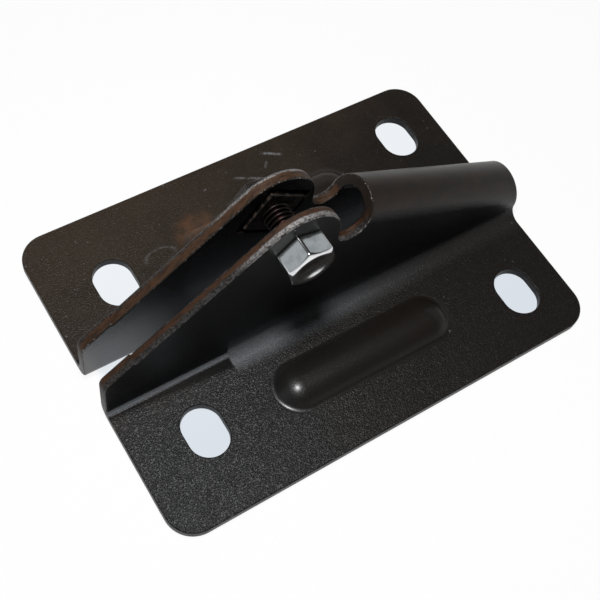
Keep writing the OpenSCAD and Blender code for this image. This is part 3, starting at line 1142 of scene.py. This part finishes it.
@dataclass
class PivotScrew:
    """The hexagon-head screw: a soft-edged dished head, and a shank with a wound thread.

    Attributes:
        layout: Where things are.
        node: The CAD node that it stands for.
        across_flats: Width of the head between two faces, in millimetres, as are the next sizes.
        face_d: Diameter of the head's end inside its bevel.
        bevel: Angle of that bevel.
        dish_d: Diameter of the dish in the head's end.
        dish_depth: Its depth.
        corner: Turn of the hexagon about the screw's axis.
        edge_hardness: How sharp the head's edges are, per millimetre.
        dish_hardness: How sharp the dish's edge is, per millimetre.
        heart_share: Height in the head from which its skin is found, as a share.
        thread_d: Diameter of the thread, in metres, as are the next sizes.
        pitch: Distance between two of its turns.
        depth_share: Depth of the thread as a share of its pitch.
        tip_bevel: Length of the bevel at the screw's tip.
    """

    layout: Layout
    node: str = "pivot_screw"
    across_flats: float = 10.0
    face_d: float = 9.4
    bevel: float = math.radians(30)
    dish_d: float = 7.2
    dish_depth: float = 0.4
    corner: float = math.radians(15)
    edge_hardness: float = 7.5
    dish_hardness: float = 24.0
    heart_share: float = 0.42
    thread_d: float = 6.0 * MM
    pitch: float = 1.0 * MM
    depth_share: float = 0.6134
    tip_bevel: float = 0.75 * MM

    def build(self, plating: bpy.types.Material) -> list[bpy.types.Object]:
        """Builds and dresses the screw.

        Args:
            plating: Its finish.

        Returns:
            The head and the shank.
        """
        head = piece("screw_head", self.head_mesh(), plating)
        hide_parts(self.node)
        shank = piece("screw_thread", self.shank_mesh(plating), plating)
        return [head, shank]

    def head_field(self, points: np.ndarray) -> np.ndarray:
        """How far points lie outside the head, in millimetres.

        Args:
            points: X, Z and depth towards the head's end, from the middle of its seat.

        Returns:
            Less than 0 inside the head, with its edges melted together.
        """
        height, face_count, between = self.layout.head_h / MM, 6, math.radians(60)
        across, depth = points[:, :2], points[:, 2]
        radius = np.hypot(across[:, 0], across[:, 1])
        turns = self.corner + between / 2 + np.arange(face_count) * between
        sides = np.stack([-across[:, 0] * math.sin(t) + across[:, 1] * math.cos(t) for t in turns])
        cone = (radius - self.face_d / 2) * math.sin(self.bevel) + (depth - height) * math.cos(self.bevel)
        ball_r = ((self.dish_d / 2) ** 2 + self.dish_depth**2) / (2 * self.dish_depth)
        dish = ball_r - np.hypot(radius, depth - (height - self.dish_depth + ball_r))
        limits = np.vstack([sides - self.across_flats / 2, cone, depth - height, -depth])
        body = melted(limits, self.edge_hardness)
        return melted(np.vstack([body, dish]), self.dish_hardness)

    def head_mesh(self) -> bpy.types.Mesh:
        """The head as rays from its middle that stop at its skin.

        Returns:
            The closed mesh.
        """
        rings, around, far, halvings = 120, 180, 8.0, 40
        polar = np.pi * np.arange(1, rings) / rings
        turn = 2 * np.pi * np.arange(around) / around
        p, t = np.meshgrid(polar, turn, indexing="ij")
        rays = np.stack([np.sin(p) * np.cos(t), np.sin(p) * np.sin(t), np.cos(p)], -1).reshape(-1, 3)
        rays = np.vstack([[0, 0, 1.0], rays, [0, 0, -1.0]])
        heart = np.array([0.0, 0.0, self.heart_share * self.layout.head_h / MM])
        inner, outer = np.zeros(len(rays)), np.full(len(rays), far)
        for _ in range(halvings):
            middle = (inner + outer) / 2
            inside = self.head_field(heart + rays * middle[:, None]) < 0
            inner, outer = np.where(inside, middle, inner), np.where(inside, outer, middle)
        skin = heart + rays * inner[:, None]
        pivot, seat = self.layout.pivot, self.layout.front_face
        verts = [(pivot.x + a * MM, seat - c * MM, pivot.z + b * MM) for a, b, c in skin.tolist()]

        def ring(i: int, j: int) -> int:
            """The number of a point, from its ring and its place round the ring."""
            return 1 + i * around + j % around

        last = len(verts) - 1
        faces = [(0, ring(0, j), ring(0, j + 1)) for j in range(around)]
        for i in range(rings - 2):
            for j in range(around):
                faces.append((ring(i, j), ring(i + 1, j), ring(i + 1, j + 1), ring(i, j + 1)))
        faces += [(last, ring(rings - 2, j + 1), ring(rings - 2, j)) for j in range(around)]
        mesh = bpy.data.meshes.new("screw_head")
        mesh.from_pydata(verts, [], faces)
        outward(mesh)
        mesh.shade_smooth()
        return mesh

    def shank_mesh(self, plating: bpy.types.Material) -> bpy.types.Mesh:
        """The shank and its thread, made by the thread's node tree.

        Args:
            plating: Its finish.

        Returns:
            The mesh, in place.
        """
        tip_y, seat = self.layout.screw_box[1].y, self.layout.front_face
        maker = add_object("shank", bpy.data.meshes.new("shank"))
        ThreadTree().apply(
            maker,
            {
                "Length": tip_y - seat,
                "Crest radius": self.thread_d / 2,
                "Root radius": self.thread_d / 2 - self.depth_share * self.pitch,
                "Pitch": self.pitch,
                "Tip bevel": self.tip_bevel,
                "Finish": plating,
            },
        )
        mesh = evaluated_mesh(maker)
        pivot = self.layout.pivot
        along_y = Matrix.Rotation(math.radians(-90), 4, "X")
        mesh.transform(Matrix.Translation((pivot.x, seat, pivot.z)) @ along_y)
        outward(mesh)
        return mesh


class ThreadTree:
    """A Geometry Nodes tree that winds a thread's ridge round a core.

    Attributes:
        SIZES: The tree's inputs that are lengths.
        FINISH: Its input for the material.
        STEPS_A_TURN: Points in one turn of the helix and round the core.
        ROOT_SHARE: Width of the ridge's foot as a share of the pitch.
        CREST_SHARE: Width of its crest as such a share.
        SUNK: How far its foot lies inside the core.
        RUN_OUT: Where the ridge ends before the tip, as a share of the tip's bevel.
        TIP_SLOPE: How much the tip's radius shrinks, as a share of the tip's bevel.
    """

    SIZES = ("Length", "Crest radius", "Root radius", "Pitch", "Tip bevel")
    FINISH = "Finish"
    STEPS_A_TURN = 48
    ROOT_SHARE = 0.80
    CREST_SHARE = 0.20
    SUNK = 0.05 * MM
    RUN_OUT = 1.2
    TIP_SLOPE = 0.5

    def __init__(self) -> None:
        """Builds the tree."""
        self.tree = bpy.data.node_groups.new("wound_thread", "GeometryNodeTree")
        for name in self.SIZES:
            self.tree.interface.new_socket(name, in_out="INPUT", socket_type="NodeSocketFloat")
        self.tree.interface.new_socket(self.FINISH, in_out="INPUT", socket_type="NodeSocketMaterial")
        self.tree.interface.new_socket("Mesh", in_out="OUTPUT", socket_type="NodeSocketGeometry")
        graph = Graph(self.tree)
        given = graph.node("NodeGroupInput").outputs
        size = {name: Value(graph, given[name]) for name in self.SIZES}
        parts = graph.node("GeometryNodeJoinGeometry")
        for part in (self.ridge(graph, size), *self.core(graph, size)):
            graph.feed(parts.inputs[0], part)
        smooth = graph.node("GeometryNodeSetShadeSmooth", None, {0: parts.outputs[0]})
        real = graph.node("GeometryNodeRealizeInstances", None, {0: smooth.outputs[0]})
        dressing = {"Geometry": real.outputs[0], "Material": given[self.FINISH]}
        dressed = graph.node("GeometryNodeSetMaterial", None, dressing)
        graph.node("NodeGroupOutput", None, {0: dressed.outputs[0]})

    def ridge(self, graph: Graph, size: dict[str, Value]) -> bpy.types.NodeSocket:
        """The helical ridge.

        Args:
            graph: The tree.
            size: The tree's inputs by name.

        Returns:
            The ridge's geometry.
        """
        height = size["Crest radius"] - size["Root radius"] + self.SUNK
        line_r = (size["Crest radius"] + size["Root radius"] - self.SUNK) * 0.5
        run = size["Length"] - size["Tip bevel"] * self.RUN_OUT
        helix = graph.node(
            "GeometryNodeCurveSpiral",
            None,
            {
                "Resolution": self.STEPS_A_TURN,
                "Rotations": run / size["Pitch"],
                "Start Radius": line_r,
                "End Radius": line_r,
                "Height": run,
            },
        )
        upright = graph.node("GeometryNodeSetCurveNormal", {"mode": "Z_UP"}, {"Curve": helix.outputs[0]})
        profile = graph.node(
            "GeometryNodeCurvePrimitiveQuadrilateral",
            {"mode": "TRAPEZOID"},
            {
                "Height": height,
                "Bottom Width": size["Pitch"] * self.ROOT_SHARE,
                "Top Width": size["Pitch"] * self.CREST_SHARE,
                "Offset": 0.0,
            },
        )
        quarter_turn = (0.0, 0.0, math.radians(90))
        turning = {"Geometry": profile.outputs[0], "Rotation": quarter_turn}
        turned = graph.node("GeometryNodeTransform", None, turning)
        swept = graph.node(
            "GeometryNodeCurveToMesh",
            None,
            {"Curve": upright.outputs[0], "Profile Curve": turned.outputs[0], "Fill Caps": True},
        )
        return swept.outputs[0]

    def core(self, graph: Graph, size: dict[str, Value]) -> list[bpy.types.NodeSocket]:
        """The plain core and its bevelled tip.

        Args:
            graph: The tree.
            size: The tree's inputs by name.

        Returns:
            The two geometries.
        """
        shaft_l = size["Length"] - size["Tip bevel"]
        shaft = graph.node(
            "GeometryNodeMeshCylinder",
            None,
            {"Vertices": self.STEPS_A_TURN, "Radius": size["Root radius"], "Depth": shaft_l},
        )
        tip = graph.node(
            "GeometryNodeMeshCone",
            None,
            {
                "Vertices": self.STEPS_A_TURN,
                "Radius Top": size["Root radius"] - size["Tip bevel"] * self.TIP_SLOPE,
                "Radius Bottom": size["Root radius"],
                "Depth": size["Tip bevel"],
            },
        )
        return [self.lifted(graph, shaft, shaft_l * 0.5), self.lifted(graph, tip, shaft_l)]

    def lifted(self, graph: Graph, shape: bpy.types.Node, height: Value) -> bpy.types.NodeSocket:
        """Moves a shape along the screw's axis.

        Args:
            graph: The tree.
            shape: The node that makes the shape.
            height: How far it moves.

        Returns:
            The moved geometry.
        """
        move = graph.node("ShaderNodeCombineXYZ", None, {"Z": height}).outputs[0]
        inputs = {"Geometry": shape.outputs["Mesh"], "Translation": move}
        return graph.node("GeometryNodeTransform", None, inputs).outputs[0]

    def apply(self, maker: bpy.types.Object, sizes: dict[str, object]) -> None:
        """Adds the tree to an object as a modifier.

        Args:
            maker: The object that takes the modifier.
            sizes: The inputs' values by name.
        """
        modifier = maker.modifiers.new("thread", "NODES")
        modifier.node_group = self.tree
        for item in self.tree.interface.items_tree:
            if item.in_out == "INPUT":
                modifier[item.identifier] = sizes[item.name]


@dataclass
class SquareNut:
    """The square nut in the rear ear's pocket.

    Attributes:
        node: The CAD node that it stands for.
        edge_round: How far back from an edge its round begins.
    """

    node: str = "square_nut"
    edge_round: float = 0.3 * MM

    def build(self, steel: bpy.types.Material) -> bpy.types.Object:
        """Builds and dresses the nut.

        Args:
            steel: Its finish.

        Returns:
            The piece, which stands for the CAD node.
        """
        mesh = rounded(whole_copy(self.node), self.edge_round, lambda middle: False)
        made = piece("captive_nut", mesh, steel)
        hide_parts(self.node)
        return made


def outward(mesh: bpy.types.Mesh) -> None:
    """Turns every face of a closed mesh outwards.

    Args:
        mesh: The mesh.
    """
    copy = bmesh.new()
    copy.from_mesh(mesh)
    bmesh.ops.recalc_face_normals(copy, faces=copy.faces)
    copy.to_mesh(mesh)
    copy.free()


@dataclass(frozen=True)
class PhotoCamera:
    """A camera at the photograph's viewing angle.

    Attributes:
        azimuth: Angle of the view about Z, in degrees.
        elevation: Angle of the camera above the floor, in degrees.
        roll: Turn of the picture, in degrees.
        distance: Distance along the view from the frame's origin.
        slide: Where the frame's origin lies, right of and below the picture's middle.
        focal_px: Focal length in pixels of the picture.
        picture_px: Width of the picture in pixels.
        sensor: Width of the sensor, in millimetres.
        clip_near: Distance at which the camera begins to see.
    """

    azimuth: float = -44.76
    elevation: float = 60.24
    roll: float = 14.61
    distance: float = 0.23435
    slide: tuple[float, float] = (0.00162, -0.00303)
    focal_px: float = 1025.84
    picture_px: float = 600.0
    sensor: float = 36.0
    clip_near: float = 0.005

    def axes(self) -> tuple[Vector, Vector, Vector]:
        """The camera's directions in the frame.

        Returns:
            Right, down and back.
        """
        az, el, roll = (math.radians(a) for a in (self.azimuth, self.elevation, self.roll))
        back = Vector((math.sin(az) * math.cos(el), -math.cos(az) * math.cos(el), math.sin(el)))
        right = (-back).cross(Vector((0, 0, 1))).normalized()
        down = (-back).cross(right)
        turned_right = right * math.cos(roll) - down * math.sin(roll)
        turned_down = right * math.sin(roll) + down * math.cos(roll)
        return turned_right, turned_down, back

    def place(self) -> Vector:
        """Where the camera stands."""
        right, down, back = self.axes()
        return back * self.distance - right * self.slide[0] - down * self.slide[1]

    def build(self) -> bpy.types.Object:
        """Adds the camera to the scene.

        Returns:
            The camera.
        """
        right, down, back = self.axes()
        data = bpy.data.cameras.new("photo_camera")
        data.sensor_width = self.sensor
        data.lens = self.focal_px / self.picture_px * self.sensor
        data.clip_start = self.clip_near
        camera = add_object("photo_camera", data)
        turn = Matrix((right, -down, back)).transposed()
        camera.matrix_world = Matrix.Translation(self.place()) @ turn.to_4x4()
        bpy.context.scene.camera = camera
        return camera


@dataclass(frozen=True)
class Lamp:
    """A round soft lamp.

    Attributes:
        name: Its name.
        place: Where it hangs.
        aim: The point that it faces.
        size: Its diameter.
        power: Its power, in watts.
        mirrored: Whether reflections show it.
    """

    name: str
    place: Vector
    aim: Vector
    size: float
    power: float
    mirrored: bool = True

    def build(self) -> bpy.types.Object:
        """Adds the lamp to the scene.

        Returns:
            The lamp.
        """
        data = bpy.data.lights.new(self.name, "AREA")
        data.shape = "DISK"
        data.size = self.size
        data.energy = self.power
        lamp = add_object(self.name, data)
        lamp.location = self.place
        lamp.rotation_mode = "QUATERNION"
        lamp.rotation_quaternion = (self.aim - self.place).to_track_quat("-Z", "Y")
        lamp.visible_camera = False
        lamp.visible_glossy = self.mirrored
        return lamp


@dataclass
class Studio:
    """A white paper sweep, a flash above the camera, a faint ceiling lamp and a dim room.

    Attributes:
        camera: The camera.
        sweep_r: Radius of the sweep's wall.
        sweep_h: Its height.
        cove_r: Radius of the curve between floor and wall.
        inner_r: Radius of the floor's middle part.
        around: Steps round the sweep.
        room: Strength of the room's own light.
        flash_rise: Distance of the flash above the camera.
        flash_size: Its diameter.
        flash_power: Its power, in watts.
        ceiling_place: Where the ceiling lamp hangs.
        ceiling_size: Its diameter.
        ceiling_power: Its power, in watts.
        aim_h: Height of the point that both lamps face.
    """

    camera: PhotoCamera = field(default_factory=PhotoCamera)
    sweep_r: float = 0.60
    sweep_h: float = 0.58
    cove_r: float = 0.12
    inner_r: float = 0.25
    around: int = 96
    room: float = 0.03
    flash_rise: float = 0.088
    flash_size: float = 0.045
    flash_power: float = 0.62
    ceiling_place: tuple[float, float, float] = (0.05, 0.10, 0.55)
    ceiling_size: float = 0.50
    ceiling_power: float = 0.12
    aim_h: float = 0.012

    def build(self) -> None:
        """Adds the sweep, the lamps, the world and the camera."""
        self.camera.build()
        self.sweep()
        middle = Vector((0, 0, self.aim_h))
        _, down, _ = self.camera.axes()
        flash = self.camera.place() - down * self.flash_rise
        Lamp("flash", flash, middle, self.flash_size, self.flash_power).build()
        ceiling = Vector(self.ceiling_place)
        Lamp("ceiling", ceiling, middle, self.ceiling_size, self.ceiling_power, False).build()
        self.dim_room()
        bpy.context.scene.view_settings.view_transform = "Standard"

    def sweep(self) -> bpy.types.Object:
        """The floor, which curves up into a low round wall.

        Returns:
            The sweep.
        """
        weld, bend = 0.01 * MM, [math.radians(a) for a in range(0, 91, 10)]
        flat_r = self.sweep_r - self.cove_r
        profile = [(0.0, 0.0), (self.inner_r, 0.0)]
        profile += [(flat_r + self.cove_r * math.sin(a), self.cove_r * (1 - math.cos(a))) for a in bend]
        profile.append((self.sweep_r, self.sweep_h))
        outline = bmesh.new()
        verts = [outline.verts.new((r, 0, z)) for r, z in profile]
        edges = [outline.edges.new(pair) for pair in zip(verts, verts[1:])]
        turn = {"cent": (0, 0, 0), "axis": (0, 0, 1), "angle": 2 * math.pi, "steps": self.around}
        bmesh.ops.spin(outline, geom=verts + edges, **turn)
        bmesh.ops.remove_doubles(outline, verts=outline.verts, dist=weld)
        bmesh.ops.recalc_face_normals(outline, faces=outline.faces)
        mesh = bpy.data.meshes.new("white_sweep")
        outline.to_mesh(mesh)
        outline.free()
        mesh.shade_smooth()
        mesh.materials.append(WhiteSweep().build())
        return add_object("white_sweep", mesh)

    def dim_room(self) -> None:
        """Lights the room above the sweep with an even dim grey."""
        world = bpy.data.worlds.new("dim_room")
        world.use_nodes = True
        graph = Graph(world.node_tree)
        grey = graph.node("ShaderNodeBackground", None, {"Color": (1, 1, 1, 1), "Strength": self.room})
        graph.node("ShaderNodeOutputWorld", None, {"Surface": grey.outputs[0]})
        bpy.context.scene.world = world


def main() -> None:
    """Builds the pieces, the finishes and the studio."""
    logging.basicConfig(level=logging.INFO, format="%(name)s: %(message)s")
    layout = Layout()
    FoldedSheet(layout).build(BlackPaint(layout).build())
    PivotScrew(layout).build(BrightPlating(layout).build())
    SquareNut().build(OldSteel().build())
    Studio().build()


if __name__ == "__main__":
    main()
